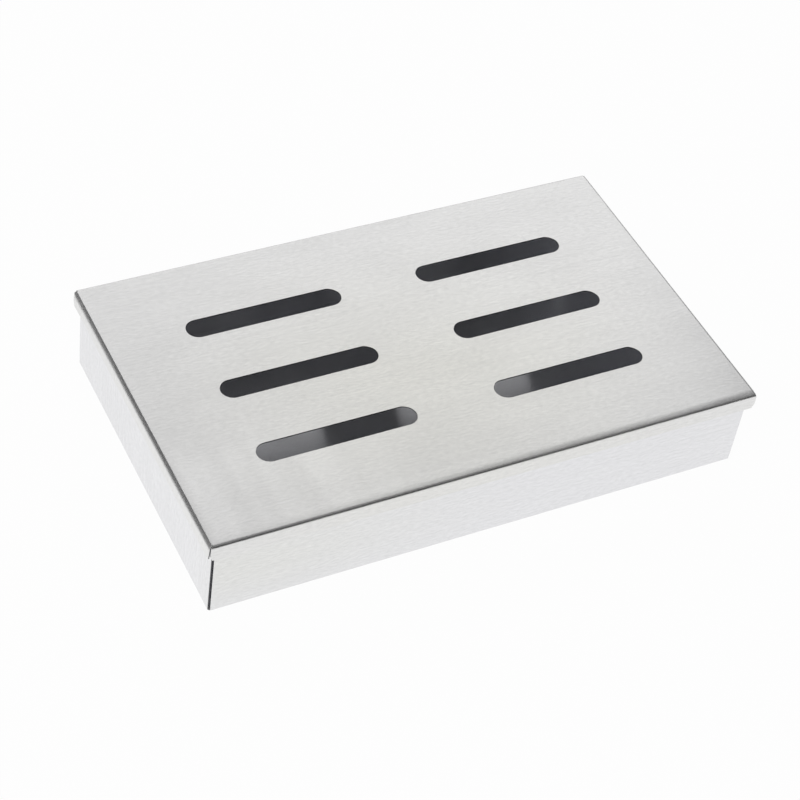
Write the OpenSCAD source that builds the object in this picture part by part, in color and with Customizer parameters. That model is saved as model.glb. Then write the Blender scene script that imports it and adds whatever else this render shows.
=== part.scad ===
// Grill smoker box: a folded sheet-steel tray for wood chips, and a slotted lid that drops over it.
// Millimetres. The origin is at the middle of the tray's underside, X runs along the box, Z is up.

/* [Overall size] */
// Length of the lid, over its end flanges
lid_length = 209; // [160:1:300]
// Width of the lid, over its long flanges
lid_width = 127.5; // [90:0.5:200]
// Height of the closed box, from the tray's underside to the lid's top
box_height = 35; // [20:0.5:60]

/* [Sheet steel] */
// Thickness of the sheet that both pieces are folded from
sheet = 0.5; // [0.3:0.1:1]
// Inside radius of every fold
fold_radius = 0.6; // [0.3:0.1:1.5]

/* [Lid flanges] */
// Depth of the flanges, from the lid's top face to their free edge
flange_depth = 6.5; // [4:0.5:15]
// Gap on each side between the tray's wall and the inner end of the lid's fold
rim_clearance = 0.65; // [0.2:0.05:3]
// Set-back of a flange from the mitre line at each corner
lid_seam = 0.35; // [0.05:0.05:0.5]
// Height of the clipped lower corners of the long flanges
clip_height = 2; // [0.5:0.1:2.5]
// Length that is clipped from the lower corners of the long flanges
clip_length = 0.8; // [0.1:0.1:3]
// How far the sloping ends of the end flanges draw back at their free edge
end_slope = 1; // [0.1:0.1:3]

/* [Smoke slots] */
// Length of a slot, over its round ends
slot_length = 59.3; // [20:0.1:80]
// Width of a slot
slot_width = 8.8; // [4:0.1:16]
// Number of slots along the box
slot_columns = 2; // [1:1:2]
// Number of slots across the box
slot_rows = 3; // [1:1:4]
// Distance between the middles of neighbouring columns
column_pitch = 90.1; // [82:0.1:110]
// Distance between the middles of neighbouring rows
row_pitch = 31.3; // [18:0.1:34]

/* [Tray corners] */
// Set-back of a wall's upright edge from the outer face of the wall beside it
corner_seam = 0.95; // [0.3:0.05:1.5]
// Clearance of the relief hole round the meeting of the two folds at a corner
relief_clearance = 0.15; // [0.05:0.05:0.5]

/* [Hidden] */
$fn = 64;

// Outside radius of every fold
fold_outer = fold_radius + sheet;
// The tray's outer faces stand clear of the lid's folds, so its rim meets the flat of the lid
tray_length = lid_length - 2 * (fold_outer + rim_clearance);
tray_width = lid_width - 2 * (fold_outer + rim_clearance);
// The lid lies on the tray's rim
tray_height = box_height - sheet;
// Radius of a corner's relief hole, whose middle is where the two fold lines cross
relief_radius = max(0, fold_outer - corner_seam) * sqrt(2) + relief_clearance;
// Stretch of straight sheet that a fold is drawn with, so that it joins its neighbour in solid metal
lap = 2;
// Overlap that keeps a cut's faces off the faces that it cuts
cut_margin = 1;

// Section of a fold, with the middle of its bend at the origin: the bend fills the quarter where x and y
// are negative, and the sheet runs straight on from it, by reach_x along x and by reach_y along y
module fold_section(reach_x, reach_y) {
    intersection() {
        difference() {
            circle(r = fold_outer);
            circle(r = fold_radius);
        }
        translate([-fold_outer, -fold_outer]) square(fold_outer);
    }
    if (reach_x > 0) translate([0, -fold_outer]) square([reach_x, sheet]);
    translate([-fold_outer, 0]) square([sheet, reach_y]);
}

// A folded side along X with its outer face at y = 0, which reaches by flat_lap into the flat sheet
module side(run, rise, flat_lap) {
    rotate([90, 0, 90]) linear_extrude(height = run, center = true)
        translate([fold_outer, fold_outer]) fold_section(flat_lap, rise - fold_outer);
}

// The flat of a blank between its folds, with its children cut out
module flat(length, width) {
    linear_extrude(height = sheet) difference() {
        square([length - 2 * fold_outer, width - 2 * fold_outer], center = true);
        children();
    }
}

// Sets a side that is modelled on the y = 0 line against both long edges of a blank
module on_long_edges(width) {
    for (turn = [0, 180]) rotate(turn) translate([0, -width / 2, 0]) children();
}

// Sets a side that is modelled on the y = 0 line against both end edges of a blank
module on_end_edges(length) {
    for (turn = [90, 270]) rotate(turn) translate([0, -length / 2, 0]) children();
}

// Repeats a corner that is modelled at the front left, outer faces on x = 0 and y = 0
module on_corners(length, width) {
    for (flip_x = [0, 1], flip_y = [0, 1])
        mirror([flip_x, 0, 0]) mirror([0, flip_y, 0])
            translate([-length / 2, -width / 2, 0]) children();
}

// A lid flange, mitred into its neighbours, whose ends draw back over the last slope_rise of its depth
module flange(run, slope_rise, slope_run) {
    half = run / 2 - lid_seam;
    inner = fold_outer + lap;
    intersection() {
        side(run, flange_depth, lap);
        linear_extrude(height = flange_depth) polygon([
            [-half, 0],
            [half, 0],
            [half - inner, inner],
            [inner - half, inner],
        ]);
        rotate([90, 0, 0]) linear_extrude(height = 2 * inner, center = true) polygon([
            [-half, 0],
            [half, 0],
            [half, flange_depth - slope_rise],
            [half - slope_run, flange_depth],
            [slope_run - half, flange_depth],
            [-half, flange_depth - slope_rise],
        ]);
    }
}

// Outline of one smoke slot, centred
module slot_outline() {
    straight = slot_length - slot_width;
    square([straight, slot_width], center = true);
    for (end = [-1, 1]) translate([end * straight / 2, 0]) circle(d = slot_width);
}

// All smoke slots, centred on the lid
module slot_outlines() {
    for (column = [0 : slot_columns - 1], row = [0 : slot_rows - 1])
        translate([
            (column - (slot_columns - 1) / 2) * column_pitch,
            (row - (slot_rows - 1) / 2) * row_pitch,
        ]) slot_outline();
}

// The lid upside down: top face on z = 0, flanges standing up
module lid_blank() {
    flat(lid_length, lid_width) slot_outlines();
    on_long_edges(lid_width) flange(lid_length, clip_height, clip_length);
    on_end_edges(lid_length) flange(lid_width, flange_depth - fold_outer, end_slope);
}

// A tray wall with its bottom fold, whose upright edges stand clear of the walls beside it
module wall(run) {
    side(run - 2 * corner_seam, tray_height, 0);
    side(run - 2 * max(corner_seam, fold_outer), tray_height, lap);
}

// The relief hole of the front left corner, which lets the two folds bend apart
module corner_relief() {
    translate([fold_outer, fold_outer, -cut_margin])
        cylinder(r = relief_radius, h = cut_margin + fold_outer);
}

module tray() {
    color("silver") difference() {
        union() {
            flat(tray_length, tray_width);
            on_long_edges(tray_width) wall(tray_length);
            on_end_edges(tray_length) wall(tray_width);
        }
        on_corners(tray_length, tray_width) corner_relief();
    }
}

module lid() {
    color("lightgray") translate([0, 0, box_height]) mirror([0, 0, 1]) lid_blank();
}

tray();
lid();
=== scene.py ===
# Grill smoker box: a brushed steel tray for wood chips, under a loose lid with six smoke slots.
# Metres. Both pieces are cut as flat blanks and folded, as the real ones are.
import math
from collections import namedtuple

import bpy
from mathutils import Matrix, Vector
from mathutils.geometry import delaunay_2d_cdt


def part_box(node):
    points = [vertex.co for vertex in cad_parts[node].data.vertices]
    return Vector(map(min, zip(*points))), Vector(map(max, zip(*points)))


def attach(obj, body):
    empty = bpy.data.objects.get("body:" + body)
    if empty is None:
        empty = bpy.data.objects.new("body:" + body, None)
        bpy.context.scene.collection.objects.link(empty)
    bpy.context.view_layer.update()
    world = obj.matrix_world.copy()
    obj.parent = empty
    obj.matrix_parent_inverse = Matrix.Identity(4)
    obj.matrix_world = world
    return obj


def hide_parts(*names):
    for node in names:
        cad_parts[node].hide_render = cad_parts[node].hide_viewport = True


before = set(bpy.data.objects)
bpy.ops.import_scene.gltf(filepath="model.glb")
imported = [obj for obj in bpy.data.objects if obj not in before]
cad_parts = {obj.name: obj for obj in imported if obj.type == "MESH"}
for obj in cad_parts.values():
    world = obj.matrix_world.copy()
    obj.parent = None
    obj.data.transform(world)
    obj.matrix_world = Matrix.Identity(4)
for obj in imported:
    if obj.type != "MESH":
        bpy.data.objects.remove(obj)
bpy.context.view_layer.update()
TRAY_LOW, TRAY_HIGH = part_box("tray")
LID_LOW, LID_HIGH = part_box("lid")

MM = 0.001
RIGHT_ANGLE = math.pi / 2

# Sheet and folds
SHEET = 0.5 * MM
FOLD_RADIUS = 0.6 * MM
FOLD_OUTER = FOLD_RADIUS + SHEET
BEND = FOLD_OUTER * RIGHT_ANGLE
BEND_STEPS = 10
EDGE_BREAK = 0.06 * MM

# Slight curves that the press left beside two of the lid's folds: on the top along the front edge, where it
# grows from the left end and is full past the middle, and on the left flange under its tighter fold
FRONT_EASE = 2.3 * MM
FRONT_EASE_TURN = math.radians(12)
FRONT_EASE_FULL_X = 30 * MM
FRONT_EASE_GROWTH = 1.5
LEFT_FOLD_OUTER = 0.3 * MM
LEFT_EASE = 3.1 * MM
LEFT_EASE_TURN = math.radians(29)

# Lid corners: how far a flange that is lapped stops short of its corner and slopes back from there, how
# near the flange that laps it comes, and what is clipped from that one's lower corner
SHORT_SEAM = 1.0 * MM
SHORT_SLOPE = 0.4 * MM
LAP_SEAM = 0.25 * MM
CLIP_HEIGHT = 2 * MM
CLIP_LENGTH = 0.8 * MM

# Smoke slots
SLOT_LENGTH = 59.3 * MM
SLOT_WIDTH = 8.8 * MM
SLOT_RADIUS = SLOT_WIDTH / 2
SLOT_HALF_STRAIGHT = (SLOT_LENGTH - SLOT_WIDTH) / 2
SLOT_END_STEPS = 20
COLUMN_PITCH = 90.1 * MM
ROW_PITCH = 31.3 * MM

# Tray corners: open seams between the walls, over a relief hole where their bottom folds meet
CORNER_SEAM = 0.75 * MM
OVERHANG = FOLD_OUTER - CORNER_SEAM
RELIEF_CLEARANCE = 0.15 * MM
RELIEF_RADIUS = OVERHANG * math.sqrt(2) + RELIEF_CLEARANCE
RELIEF_STEPS = 22

# Points over a blank: how far apart they lie, how far past a fold they lie closer, and how near they come
# to cut-outs and corners
MESH_STEP = 3 * MM
CLOSE_STEP = 0.3 * MM
CLOSE_REACH = 2.4 * MM
CUT_MARGIN = 1.2 * MM
CORNER_MARGIN = 0.5 * MM

# Triangles: the kind that keeps to the outline, the distance in millimetres at which points merge, the
# least cosine that a mitre of two edges follows, and the angle from which an edge is sharp
INSIDE_OUTLINE = 1
MERGE_MM = 1e-4
MITRE_LIMIT = -0.5
SHARP_ANGLE = math.radians(30)

# A sheet's materials: its brushed face, its plainer back and its cut edge
SHOW_FACE, BACK_FACE, CUT_EDGE = range(3)
BLANK_MAP = "blank"

# Camera, solved from the photograph's lid corners, slots and tray edges
CAMERA_PLACE = Vector((-0.29996, -0.46731, 0.55758))
CAMERA_AIM = Vector((-0.01812, -0.02401, 0.035))
CAMERA_ROLL = math.radians(9.4)
CAMERA_LENS_MM = 97.06
SENSOR_MM = 36

# Steel's tints, a cooler and a warmer one that change from place to place
TRAY_TINTS = (0.884, 0.885, 0.901, 1), (0.859, 0.861, 0.835, 1)
LID_TINTS = (0.864, 0.862, 0.856, 1), (0.867, 0.862, 0.812, 1)
# The back's tints carry a bluish cast, painted shade colour for the hollows seen through the slots
BACK_TINTS_WITH_SHADE_BLUE = (0.86, 0.863, 0.893, 1), (0.865, 0.866, 0.885, 1)

# Where the warmer tint lies on a blank: its middle, and how far it reaches from there along X and Y
TRAY_WARMTH = (-0.1, -0.08), (0.13, 0.035)
LID_WARMTH = (-0.005, -0.015), (0.12, 0.085)

# Layers of the steel's finish, and of a painted sheen: features per metre along and across the grain,
# levels of detail, a place of its own in the noise, and the range of the layer's effect
Layer = namedtuple("Layer", "scale detail seed effect")
HAIR = Layer((70, 5200), 3, 0, (0.93, 1.05))
STREAK = Layer((9, 420), 2, 3, (0.985, 1.012))
CLOUD = Layer((38, 52), 3, 7, (0.965, 1.02))
FLECK = Layer((420, 1300), 2, 11, (0.95, 1.04))
WARM_PATCH = Layer((8, 12), 1, 13, (0.5, 1.0))
# Painted sheen: bright bands across the grain that stand in for streaks of reflected light, not marks on
# the steel
PAINTED_SHEEN = Layer((105, 9), 1, 17, (0.06, 0.14))
LAYER_ROUGHNESS = 0.55

# Range that most of a noise lies in
NOISE_LOW = 0.3
NOISE_HIGH = 0.7

# Where the painted sheen lies on the lid's blank along X and Y: it starts, is full, begins to fade, and
# ends
SHEEN_X = -0.005, -0.075, -0.1, -0.1045
SHEEN_Y = -0.01, -0.035, -0.059, -0.064

# Gloss of the steel's faces, how far clouds and hairs change it, the depth of the hairs, and the turn that
# stretches reflections across the grain
SHOW_ROUGHNESS = 0.232
BACK_ROUGHNESS = 0.225
BACK_METALLIC = 0.82
CLOUD_GLOSS = 0.017
HAIR_GLOSS = 0.02
HAIR_DEPTH = 0.002 * MM
HAIR_BUMP = 0.25
QUARTER_TURN = 0.25

# Cut edges: a tint far darker than the faces, painted shade along the sheet's edges
CUT_SHADED_TINT = (0.16, 0.16, 0.166)
CUT_GRAIN = 2500.0
CUT_DETAIL = 3.0
CUT_SHADE = 0.85, 1.05
CUT_ROUGHNESS = 0.4, 0.5

# Surroundings: a paper floor just under the box, which glows for the camera and in reflections, but not
# under the tray's foot, and a sky that darkens above its horizon
FLOOR_HALF = 4.0
FLOOR_DROP = 0.05 * MM
FOOT_INSET = 0.8 * MM
PAPER = (0.9, 0.9, 0.9, 1)
SEEN_GLOW = 0.97
MIRRORED_GLOW = 0.955
WHITE = (1, 1, 1, 1)
DUSK = (0.236, 0.236, 0.24, 1)
DUSK_HEIGHT = 0.3


def lines(low, high, step):
    """Evenly spaced values from low to high, at most a step apart."""
    count = max(1, math.ceil((high - low) / step))
    return [low + (high - low) * index / count for index in range(count + 1)]


def fold_rows(reach):
    """Runs past a fold line at which a side has rows of points: close about the bend, wide beyond it."""
    bend = [BEND * index / BEND_STEPS for index in range(1, BEND_STEPS + 1)]
    close = lines(BEND, BEND + CLOSE_REACH, CLOSE_STEP)[1:]
    return bend + close + lines(BEND + CLOSE_REACH, reach, MESH_STEP)[1:]


def flat_lines(fold):
    """Lines of points over the flat between two folds, close together beside the folds."""
    close = lines(fold - CLOSE_REACH, fold, CLOSE_STEP)
    middle = lines(CLOSE_REACH - fold, fold - CLOSE_REACH, MESH_STEP)[1:-1]
    return [-line for line in reversed(close)] + middle + close


def fold_arcs(radius=FOLD_OUTER, ease_in=0.0, turn_in=0.0, ease_out=0.0, turn_out=0.0):
    """A fold as three arcs, each a run and a turn: into the bend, the bend, and out of it."""
    turn = RIGHT_ANGLE - turn_in - turn_out
    return (ease_in, turn_in), (radius * turn, turn), (ease_out, turn_out)


def fold_point(arcs, run, inset):
    """How far out and up a point comes to lie, run from the start of the arcs and inset from them."""
    out = rise = angle = 0.0
    for length, turn in arcs:
        part = min(run, length)
        if part > 0 and turn > 0:
            radius = length / turn
            ahead = angle + part / radius
            out += radius * (math.sin(ahead) - math.sin(angle))
            rise += radius * (math.cos(angle) - math.cos(ahead))
            angle = ahead
            run -= part
    out += run * math.cos(angle) - inset * math.sin(angle)
    rise += run * math.sin(angle) + inset * math.cos(angle)
    return out, rise


def fold_width(arcs):
    """How far out a fold reaches from the start of its arcs."""
    return fold_point(arcs, sum(length for length, _ in arcs), 0)[0]


def plain_fold(x, y):
    """A fold that is the same all along."""
    return fold_arcs()


class Blank:
    """A flat sheet about the origin, with four fold lines round its middle and a side past each."""

    def __init__(self, size, long_fold=plain_fold, end_fold=plain_fold):
        self.half_x = size.x / 2
        self.half_y = size.y / 2
        self.fold_x = self.half_x - FOLD_OUTER
        self.fold_y = self.half_y - FOLD_OUTER
        self.reach = BEND + size.z - FOLD_OUTER
        self.columns = flat_lines(self.fold_x)
        self.rows = flat_lines(self.fold_y)
        self.long_fold = long_fold
        self.end_fold = end_fold

    def folded(self, x, y, inset):
        """Place of the blank's point at x and y once it is folded up, its flat's outer face on z = 0."""
        long_arcs = self.long_fold(x, y)
        end_arcs = self.end_fold(x, y)
        flat_x = self.half_x - fold_width(end_arcs)
        flat_y = self.half_y - fold_width(long_arcs)
        far_x, far_y = abs(x), abs(y)
        if far_y - self.fold_y >= far_x - self.fold_x:
            out, rise = fold_point(long_arcs, far_y - flat_y, inset)
            far_y = flat_y + out
        else:
            # An end side follows the curve that the flat has beside a long fold
            long_ease = long_arcs[0][0]
            sag = fold_point(long_arcs[:1], min(far_y - flat_y, long_ease), 0)[1]
            out, rise = fold_point(end_arcs, far_x - flat_x, inset)
            rise += sag
            far_x = flat_x + out
        return Vector((math.copysign(far_x, x), math.copysign(far_y, y), rise))

    def outline(self, rear, front):
        """Closed outline from the paths of a rear and a front corner, from end side to long side."""
        far_x = self.fold_x + self.reach
        far_y = self.fold_y + self.reach
        along = [x for x in self.columns if abs(x) < self.half_x - MESH_STEP]
        across = [y for y in self.rows if abs(y) < self.half_y - MESH_STEP]
        return (
            rear + [(x, far_y) for x in reversed(along)]
            + [(-x, y) for x, y in reversed(rear)] + [(-far_x, y) for y in reversed(across)]
            + [(-x, -y) for x, y in front] + [(x, -far_y) for x in along]
            + [(x, -y) for x, y in reversed(front)] + [(far_x, y) for y in across]
        )

    def inner_points(self, cut_distance):
        """Points inside the outline: a grid over the flat, and rows along each side."""
        points = [(x, y) for x in self.columns for y in self.rows if cut_distance(x, y) > CUT_MARGIN]
        points = [(x, y) for x, y in points if abs(x) < self.fold_x or abs(y) < self.fold_y]
        for run in fold_rows(self.reach)[:-1]:
            for x in self.columns:
                if abs(x) < self.fold_x - CORNER_MARGIN:
                    points += [(x, side * (self.fold_y + run)) for side in (-1, 1)]
            for y in self.rows:
                if abs(y) < self.fold_y - CORNER_MARGIN:
                    points += [(side * (self.fold_x + run), y) for side in (-1, 1)]
        return points


def lid_corner(short_fold, lap_fold, reach):
    """Path round a corner of the lid's blank, from the flange that stops short of it to the one that curves
    out to lap it. The first flange's fold crosses the first axis, the second one's fold the second axis."""
    steps = [index / BEND_STEPS for index in range(BEND_STEPS + 1)]
    short_end = lap_fold + FOLD_OUTER - SHORT_SEAM
    lap_end = short_fold + FOLD_OUTER - LAP_SEAM
    short_side = [(short_fold + BEND * step, short_end) for step in reversed(steps)]
    lap_side = [(lap_end - FOLD_OUTER * (1 - math.sin(step * RIGHT_ANGLE)), lap_fold + BEND * step)
                for step in steps]
    slope_foot = (short_fold + reach, short_end - SHORT_SLOPE)
    clip_top = (lap_end, lap_fold + reach - CLIP_HEIGHT)
    clip_foot = (lap_end - CLIP_LENGTH, lap_fold + reach)
    return [slope_foot] + short_side + lap_side + [clip_top, clip_foot]


def lid_outline(blank):
    """Outline of the lid's blank: long flanges lap the corners in front, end flanges those behind."""
    front = lid_corner(blank.fold_x, blank.fold_y, blank.reach)
    rear = lid_corner(blank.fold_y, blank.fold_x, blank.reach)
    return blank.outline([(x, y) for y, x in reversed(rear)], front)


def tray_corner(blank):
    """Path round a corner of the tray's blank: two upright edges and the relief hole between them."""
    start = math.asin(OVERHANG / RELIEF_RADIUS)
    sweep = 3 * RIGHT_ANGLE + 2 * start
    hole = []
    for index in range(RELIEF_STEPS + 1):
        angle = start - sweep * index / RELIEF_STEPS
        hole.append((blank.fold_x + RELIEF_RADIUS * math.cos(angle),
                     blank.fold_y + RELIEF_RADIUS * math.sin(angle)))
    runs = [run for run in fold_rows(blank.reach) if run > RELIEF_RADIUS]
    end_side = [(blank.fold_x + run, blank.fold_y + OVERHANG) for run in reversed(runs)]
    long_side = [(blank.fold_x + OVERHANG, blank.fold_y + run) for run in runs]
    return end_side + hole + long_side


def slot_centres():
    """Middles of the six smoke slots."""
    return [(side * COLUMN_PITCH / 2, row * ROW_PITCH) for side in (-1, 1) for row in (-1, 0, 1)]


def slot_distance(x, y):
    """Distance of a point outside the nearest slot's edge."""
    distances = []
    for middle_x, middle_y in slot_centres():
        past_end = max(abs(x - middle_x) - SLOT_HALF_STRAIGHT, 0)
        distances.append(math.hypot(past_end, y - middle_y) - SLOT_RADIUS)
    return min(distances)


def slot_outline(middle_x, middle_y):
    """Outline of one smoke slot, round at both ends."""
    points = []
    for end in (1, -1):
        for index in range(SLOT_END_STEPS + 1):
            angle = math.pi * index / SLOT_END_STEPS - end * RIGHT_ANGLE
            points.append((middle_x + end * SLOT_HALF_STRAIGHT + SLOT_RADIUS * math.cos(angle),
                           middle_y + SLOT_RADIUS * math.sin(angle)))
        between = lines(-SLOT_HALF_STRAIGHT, SLOT_HALF_STRAIGHT, MESH_STEP)[1:-1]
        points += [(middle_x - end * x, middle_y + end * SLOT_RADIUS) for x in between]
    return points


def triangulate(loops, inner_points, cut_distance):
    """Triangles through all the given points that fill the first loop, less what is cut out of it."""
    points = [Vector(point) for loop in loops for point in loop]
    edges = []
    first = 0
    for loop in loops:
        edges += [(first + index, first + (index + 1) % len(loop)) for index in range(len(loop))]
        first += len(loop)
    points += [Vector(point) for point in inner_points]
    scaled = [point / MM for point in points]
    places, _, faces, *_ = delaunay_2d_cdt(scaled, edges, [], INSIDE_OUTLINE, MERGE_MM)
    places = [place * MM for place in places]
    middles = [sum((places[index] for index in face), Vector((0, 0))) / len(face) for face in faces]
    return places, [face for face, middle in zip(faces, middles) if cut_distance(*middle) > 0]


def boundary(faces):
    """Edges on the rim of the triangles, each with the sheet on its left."""
    directed = {(face[index - 1], face[index]) for face in faces for index in range(len(face))}
    return [(start, end) for start, end in directed if (end, start) not in directed]


def inward_offsets(places, rim):
    """How far to move each rim point so that both its edges step in by one edge break."""
    normals = {}
    for start, end in rim:
        along = (places[end] - places[start]).normalized()
        for point in (start, end):
            normals.setdefault(point, []).append(Vector((-along.y, along.x)))
    return {
        point: (one + other) * EDGE_BREAK / (1 + max(one.dot(other), MITRE_LIMIT))
        for point, (one, other) in normals.items()
    }


class Skin:
    """Points of a folded sheet, and their spots on its blank; place sets a folded point in the object."""

    def __init__(self, blank, place):
        self.blank = blank
        self.place = place
        self.vertices = []
        self.flat_places = []

    def add(self, point, inset):
        """Adds a point of the blank, inset from its outer face, and gives its number."""
        self.vertices.append(self.place(self.blank.folded(point.x, point.y, inset)))
        self.flat_places.append(point)
        return len(self.vertices) - 1


def sheet_piece(name, blank, loops, cut_distance, place):
    """One folded sheet with thickness and broken edges."""
    places, faces = triangulate(loops, blank.inner_points(cut_distance), cut_distance)
    rim = boundary(faces)
    offsets = inward_offsets(places, rim)
    skin = Skin(blank, place)
    outer, inner, rim_outer, rim_inner = {}, {}, {}, {}
    for index, point in enumerate(places):
        stepped_in = point + offsets.get(index, Vector((0, 0)))
        outer[index] = skin.add(stepped_in, 0)
        inner[index] = skin.add(stepped_in, SHEET)
        if index in offsets:
            rim_outer[index] = skin.add(point, EDGE_BREAK)
            rim_inner[index] = skin.add(point, SHEET - EDGE_BREAK)

    polygons = [[outer[index] for index in reversed(face)] for face in faces]
    polygons += [[inner[index] for index in face] for face in faces]
    kinds = [SHOW_FACE] * len(faces) + [BACK_FACE] * len(faces)
    for low, high, kind in (
        (outer, rim_outer, SHOW_FACE),
        (rim_outer, rim_inner, CUT_EDGE),
        (rim_inner, inner, BACK_FACE),
    ):
        polygons += [[low[start], low[end], high[end], high[start]] for start, end in rim]
        kinds += [kind] * len(rim)
    return skin_object(name, skin, polygons, kinds)


def skin_object(name, skin, polygons, kinds):
    """An object with these polygons, each of its own kind of material, and the blank as its texture map."""
    mesh = bpy.data.meshes.new(name)
    mesh.from_pydata(skin.vertices, [], polygons)
    blank_map = mesh.uv_layers.new(name=BLANK_MAP)
    for loop in mesh.loops:
        blank_map.data[loop.index].uv = skin.flat_places[loop.vertex_index]
    for polygon in mesh.polygons:
        polygon.use_smooth = True
        polygon.material_index = kinds[polygon.index]
    mesh.set_sharp_from_angle(angle=SHARP_ANGLE)
    piece = bpy.data.objects.new(name, mesh)
    bpy.context.scene.collection.objects.link(piece)
    return piece


def make_tray():
    """The tray: its blank folded up, with a relief hole at each corner."""
    blank = Blank(TRAY_HIGH - TRAY_LOW)
    corner = tray_corner(blank)

    def relief_distance(x, y):
        return math.hypot(abs(x) - blank.fold_x, abs(y) - blank.fold_y) - RELIEF_RADIUS

    return sheet_piece("tray_sheet", blank, [blank.outline(corner, corner)], relief_distance,
                       lambda point: point)


def lid_long_fold(x, y):
    """Fold of a long flange: in front its curve runs on into the top, more so to the right."""
    if y > 0:
        return fold_arcs()
    share = (x - LID_LOW.x) / (FRONT_EASE_FULL_X - LID_LOW.x)
    share = min(max(share, 0), 1) ** FRONT_EASE_GROWTH
    return fold_arcs(ease_in=FRONT_EASE, turn_in=FRONT_EASE_TURN * share)


def lid_end_fold(x, y):
    """Fold of an end flange: on the left its curve runs on down the flange."""
    if x > 0:
        return fold_arcs()
    return fold_arcs(LEFT_FOLD_OUTER, ease_out=LEFT_EASE, turn_out=LEFT_EASE_TURN)


def make_lid():
    """The lid: its blank folded up and turned over, with the smoke slots cut out."""
    blank = Blank(LID_HIGH - LID_LOW, lid_long_fold, lid_end_fold)
    loops = [lid_outline(blank)] + [slot_outline(*centre) for centre in slot_centres()]
    piece = sheet_piece("lid_sheet", blank, loops, slot_distance,
                        lambda point: Vector((point.x, point.y, LID_HIGH.z - point.z)))
    piece.data.flip_normals()
    return piece


class Nodes:
    """A node tree that is written as nested calls."""

    def __init__(self, tree):
        self.tree = tree
        tree.nodes.clear()

    def add(self, kind, inputs=None, **settings):
        """A new node, with its settings, and its inputs linked or set."""
        made = self.tree.nodes.new(kind)
        for name, value in settings.items():
            setattr(made, name, value)
        for name, value in (inputs or {}).items():
            if isinstance(value, bpy.types.NodeSocket):
                self.tree.links.new(value, made.inputs[name])
            else:
                made.inputs[name].default_value = value
        return made

    def noise(self, coordinates, layer, offset):
        """Noise from 0 to 1 over the coordinates, in a layer's own size."""
        place = offset + layer.seed
        placed = self.add("ShaderNodeMapping", {
            "Vector": coordinates, "Location": (place, place, 0), "Scale": (*layer.scale, 1),
        })
        return self.add("ShaderNodeTexNoise", {
            "Vector": placed.outputs[0], "Scale": 1.0, "Detail": layer.detail, "Roughness": LAYER_ROUGHNESS,
        }).outputs[0]

    def spread(self, value, low, high):
        """Stretches the middle of a noise value over the range from low to high."""
        return self.add("ShaderNodeMapRange", {
            "Value": value, "From Min": NOISE_LOW, "From Max": NOISE_HIGH, "To Min": low, "To Max": high,
        }).outputs[0]

    def ramp(self, value, low, high):
        """A soft step from 0 to 1 as the value goes from low to high."""
        return self.add("ShaderNodeMapRange", {"Value": value, "From Min": low, "From Max": high},
                        interpolation_type="SMOOTHSTEP").outputs[0]

    def window(self, value, start, full, fade, end):
        """Rises softly from 0 at start to 1 at full, and falls from 1 at fade to 0 at end."""
        return self.math("MULTIPLY", self.ramp(value, start, full), self.ramp(value, end, fade))

    def math(self, operation, first, second=0.0):
        """The result of a sum, product or other operation."""
        return self.add("ShaderNodeMath", {0: first, 1: second}, operation=operation).outputs[0]

    def mix(self, share, first, second):
        """A colour between two others."""
        return self.add("ShaderNodeMix", {"Factor": share, "A": first, "B": second},
                        data_type="RGBA").outputs["Result"]

    def scale(self, colour, factor):
        """A colour times a factor."""
        return self.add("ShaderNodeVectorMath", {0: colour, "Scale": factor}, operation="SCALE").outputs[0]


def new_material(name):
    """An empty material and its node tree."""
    material = bpy.data.materials.new(name)
    material.use_nodes = True
    return material, Nodes(material.node_tree)


def painted_sheen(nodes, blank, place, offset):
    """Painted sheen: faint bright bands across the grain, over the front left of the lid's top, in place of
    streaks of reflected light.
    """
    bands = nodes.spread(nodes.noise(blank, PAINTED_SHEEN, offset), *PAINTED_SHEEN.effect)
    held = nodes.math("MULTIPLY", nodes.window(place["X"], *SHEEN_X), nodes.window(place["Y"], *SHEEN_Y))
    return nodes.math("MULTIPLY", bands, held)


def steel_tint(nodes, blank, place, tints, warmth, offset):
    """The cooler tint, with patches of the warmer one about its place on the blank."""
    warm = nodes.spread(nodes.noise(blank, WARM_PATCH, offset), *WARM_PATCH.effect)
    for axis, middle, reach in zip("XY", *warmth):
        away = nodes.math("ABSOLUTE", nodes.math("SUBTRACT", place[axis], middle))
        warm = nodes.math("MULTIPLY", warm, nodes.ramp(away, reach, 0.0))
    return nodes.mix(warm, *tints)


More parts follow.
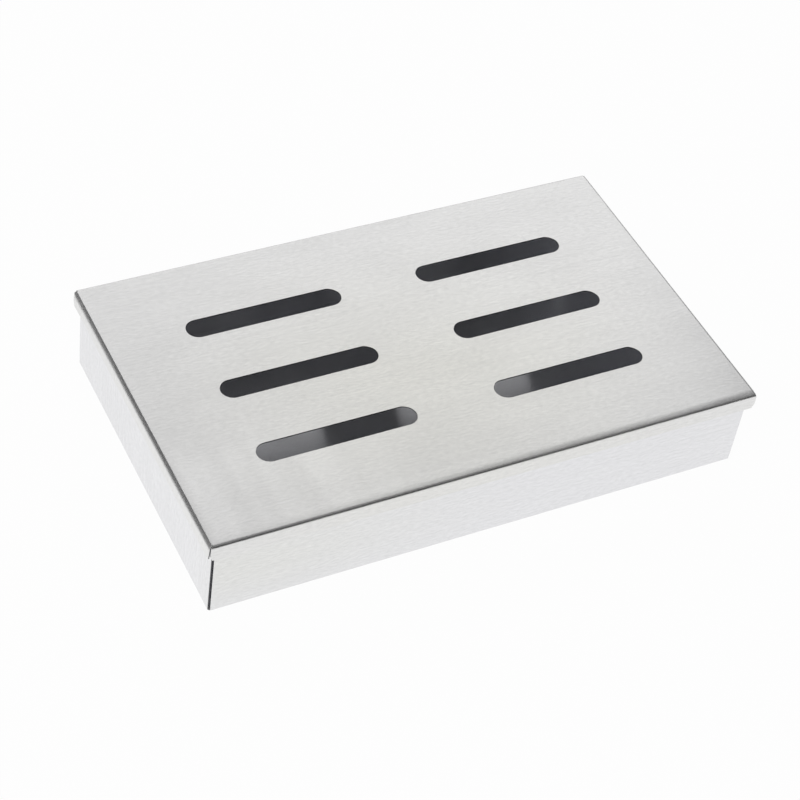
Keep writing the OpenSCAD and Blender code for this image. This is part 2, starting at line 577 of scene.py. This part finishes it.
def brushed_steel(name, tints, warmth, offset, roughness=SHOW_ROUGHNESS, metallic=1.0, with_sheen=False):
    """Satin-brushed stainless sheet, its grain along the blank's X; offset gives it a noise of its own."""
    material, nodes = new_material(name)
    blank = nodes.add("ShaderNodeUVMap", uv_map=BLANK_MAP).outputs[0]
    place = nodes.add("ShaderNodeSeparateXYZ", {0: blank}).outputs
    hair = nodes.noise(blank, HAIR, offset)
    streak = nodes.noise(blank, STREAK, offset)
    cloud = nodes.noise(blank, CLOUD, offset)
    fleck = nodes.noise(blank, FLECK, offset)
    shade = nodes.math("MULTIPLY", nodes.spread(cloud, *CLOUD.effect), nodes.spread(streak, *STREAK.effect))
    shade = nodes.math("MULTIPLY", shade, nodes.spread(hair, *HAIR.effect))
    shade = nodes.math("MULTIPLY", shade, nodes.spread(fleck, *FLECK.effect))
    # The painted sheen brightens the colour itself
    if with_sheen:
        shade = nodes.math("ADD", shade, painted_sheen(nodes, blank, place, offset))
    tint = nodes.scale(steel_tint(nodes, blank, place, tints, warmth, offset), shade)
    gloss = nodes.math("ADD", nodes.spread(cloud, roughness - CLOUD_GLOSS, roughness + CLOUD_GLOSS),
                       nodes.spread(hair, -HAIR_GLOSS, HAIR_GLOSS))
    bump = nodes.add("ShaderNodeBump", {"Strength": HAIR_BUMP, "Distance": HAIR_DEPTH, "Height": hair})
    tangent = nodes.add("ShaderNodeTangent", direction_type="UV_MAP", uv_map=BLANK_MAP)
    steel = nodes.add("ShaderNodeBsdfPrincipled", {
        "Base Color": tint, "Metallic": metallic, "Roughness": gloss, "Normal": bump.outputs[0],
        "Anisotropic": 1.0, "Anisotropic Rotation": QUARTER_TURN, "Tangent": tangent.outputs[0],
    })
    nodes.add("ShaderNodeOutputMaterial", {"Surface": steel.outputs[0]})
    return material


def cut_steel(name):
    """The sheared edge of the sheet: rougher than its faces, and tinted far darker as painted shade."""
    material, nodes = new_material(name)
    place = nodes.add("ShaderNodeTexCoord").outputs["Object"]
    grain = nodes.add("ShaderNodeTexNoise", {
        "Vector": place, "Scale": CUT_GRAIN, "Detail": CUT_DETAIL,
    }).outputs[0]
    steel = nodes.add("ShaderNodeBsdfPrincipled", {
        "Base Color": nodes.scale(CUT_SHADED_TINT, nodes.spread(grain, *CUT_SHADE)), "Metallic": 1.0,
        "Roughness": nodes.spread(grain, *CUT_ROUGHNESS),
    })
    nodes.add("ShaderNodeOutputMaterial", {"Surface": steel.outputs[0]})
    return material


def make_camera():
    """The photograph's camera."""
    camera = bpy.data.objects.new("camera", bpy.data.cameras.new("camera"))
    camera.data.sensor_width = SENSOR_MM
    camera.data.lens = CAMERA_LENS_MM
    looking = (CAMERA_AIM - CAMERA_PLACE).to_track_quat("-Z", "Y").to_matrix().to_4x4()
    roll = Matrix.Rotation(CAMERA_ROLL, 4, "Z")
    camera.matrix_world = Matrix.Translation(CAMERA_PLACE) @ looking @ roll
    bpy.context.scene.collection.objects.link(camera)
    bpy.context.scene.camera = camera


def stage_panel(name, corners, material):
    """A flat panel of the surroundings, through four corners."""
    mesh = bpy.data.meshes.new(name)
    mesh.from_pydata(corners, [], [(0, 1, 2, 3)])
    mesh.materials.append(material)
    panel = bpy.data.objects.new(name, mesh)
    bpy.context.scene.collection.objects.link(panel)
    return panel


def floor_paper(name):
    """White paper that takes shadows, and glows where the camera or a reflection sees it past the tray."""
    material, nodes = new_material(name)
    ray = nodes.add("ShaderNodeLightPath").outputs
    seen = nodes.math("MULTIPLY", ray["Is Camera Ray"], SEEN_GLOW)
    mirrored = nodes.math("MAXIMUM", ray["Is Glossy Ray"], ray["Is Transmission Ray"])
    share = nodes.math("MAXIMUM", seen, nodes.math("MULTIPLY", mirrored, MIRRORED_GLOW))
    spot = nodes.add("ShaderNodeTexCoord").outputs["Object"]
    place = nodes.add("ShaderNodeSeparateXYZ", {0: spot}).outputs
    foot = TRAY_HIGH - Vector((FOOT_INSET, FOOT_INSET, 0))
    past_end = nodes.math("GREATER_THAN", nodes.math("ABSOLUTE", place["X"]), foot.x)
    past_side = nodes.math("GREATER_THAN", nodes.math("ABSOLUTE", place["Y"]), foot.y)
    share = nodes.math("MULTIPLY", share, nodes.math("MAXIMUM", past_end, past_side))
    paper = nodes.add("ShaderNodeBsdfDiffuse", {"Color": PAPER})
    glow = nodes.add("ShaderNodeEmission", {"Color": WHITE, "Strength": 1.0})
    mixed = nodes.add("ShaderNodeMixShader", {0: share, 1: paper.outputs[0], 2: glow.outputs[0]})
    nodes.add("ShaderNodeOutputMaterial", {"Surface": mixed.outputs[0]})
    return material


def make_floor():
    """The paper floor."""
    corners = [(x * FLOOR_HALF, y * FLOOR_HALF, 0) for x, y in ((-1, -1), (1, -1), (1, 1), (-1, 1))]
    floor = stage_panel("floor", corners, floor_paper("floor_paper"))
    floor.location.z = -FLOOR_DROP


def make_world():
    """A sky that is white at the horizon and dusky above it."""
    world = bpy.data.worlds.new("studio")
    world.use_nodes = True
    bpy.context.scene.world = world
    nodes = Nodes(world.node_tree)
    direction = nodes.add("ShaderNodeTexCoord").outputs["Generated"]
    height = nodes.add("ShaderNodeSeparateXYZ", {0: direction}).outputs["Z"]
    sky = nodes.mix(nodes.ramp(height, 0.0, DUSK_HEIGHT), WHITE, DUSK)
    light = nodes.add("ShaderNodeBackground", {"Color": sky, "Strength": 1.0})
    nodes.add("ShaderNodeOutputWorld", {"Surface": light.outputs[0]})


def soft_light(name, azimuth, elevation, distance, width, height, radiance):
    """A rectangular soft light that faces the box; azimuth 0 is behind it, turning to its right end."""
    turn, lift = math.radians(azimuth), math.radians(elevation)
    away = Vector((math.sin(turn) * math.cos(lift), math.cos(turn) * math.cos(lift), math.sin(lift)))
    facing = away.to_track_quat("Z", "Y").to_matrix().to_4x4()
    data = bpy.data.lights.new(name, "AREA")
    data.shape = "RECTANGLE"
    data.size, data.size_y = width, height
    data.energy = radiance * math.pi * width * height
    lamp = bpy.data.objects.new(name, data)
    lamp.matrix_world = Matrix.Translation(away * distance) @ facing
    bpy.context.scene.collection.objects.link(lamp)


def dark_card(name, level, start, end, height):
    """An unseen card that stands on the floor from start to end and draws dark lines along the folds."""
    material, nodes = new_material(name)
    felt = nodes.add("ShaderNodeBsdfDiffuse", {"Color": (level, level, level, 1)})
    nodes.add("ShaderNodeOutputMaterial", {"Surface": felt.outputs[0]})
    card = stage_panel(name, [(*start, 0), (*end, 0), (*end, height), (*start, height)], material)
    card.visible_camera = False
    card.visible_diffuse = False
    card.visible_shadow = False


def dress(piece, body, materials):
    """Gives a sheet its materials, and puts it in place of the body's CAD solid."""
    for material in materials:
        piece.data.materials.append(material)
    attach(piece, body)
    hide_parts(body)


bpy.context.scene.view_settings.view_transform = "Standard"
make_camera()
make_world()
make_floor()
dark_card("dark_card_front", level=0.1, start=(-0.08, -0.27), end=(0.29, -0.27), height=0.31)
dark_card("dark_card_left", level=0.38, start=(-0.14, -0.06), end=(-0.14, 0.13), height=0.055)
soft_light("soft_light_back", azimuth=21.8, elevation=38.8, distance=1.2,
           width=1.0, height=0.8, radiance=0.855)
soft_light("soft_light_front", azimuth=235, elevation=50, distance=1.6,
           width=2.0, height=2.0, radiance=1.0)

tray_face = brushed_steel("tray_brushed", TRAY_TINTS, TRAY_WARMTH, offset=0.0)
# The lid's top carries the painted sheen over its front left
lid_face = brushed_steel("lid_brushed", LID_TINTS, LID_WARMTH, offset=11.0, with_sheen=True)
# The sheet's back has the bluish cast of painted shade in the slot hollows
back_face = brushed_steel("sheet_back", BACK_TINTS_WITH_SHADE_BLUE, LID_WARMTH, offset=23.0,
                          roughness=BACK_ROUGHNESS, metallic=BACK_METALLIC)
cut_edge = cut_steel("cut_edge")
dress(make_tray(), "tray", (tray_face, back_face, cut_edge))
dress(make_lid(), "lid", (lid_face, back_face, cut_edge))
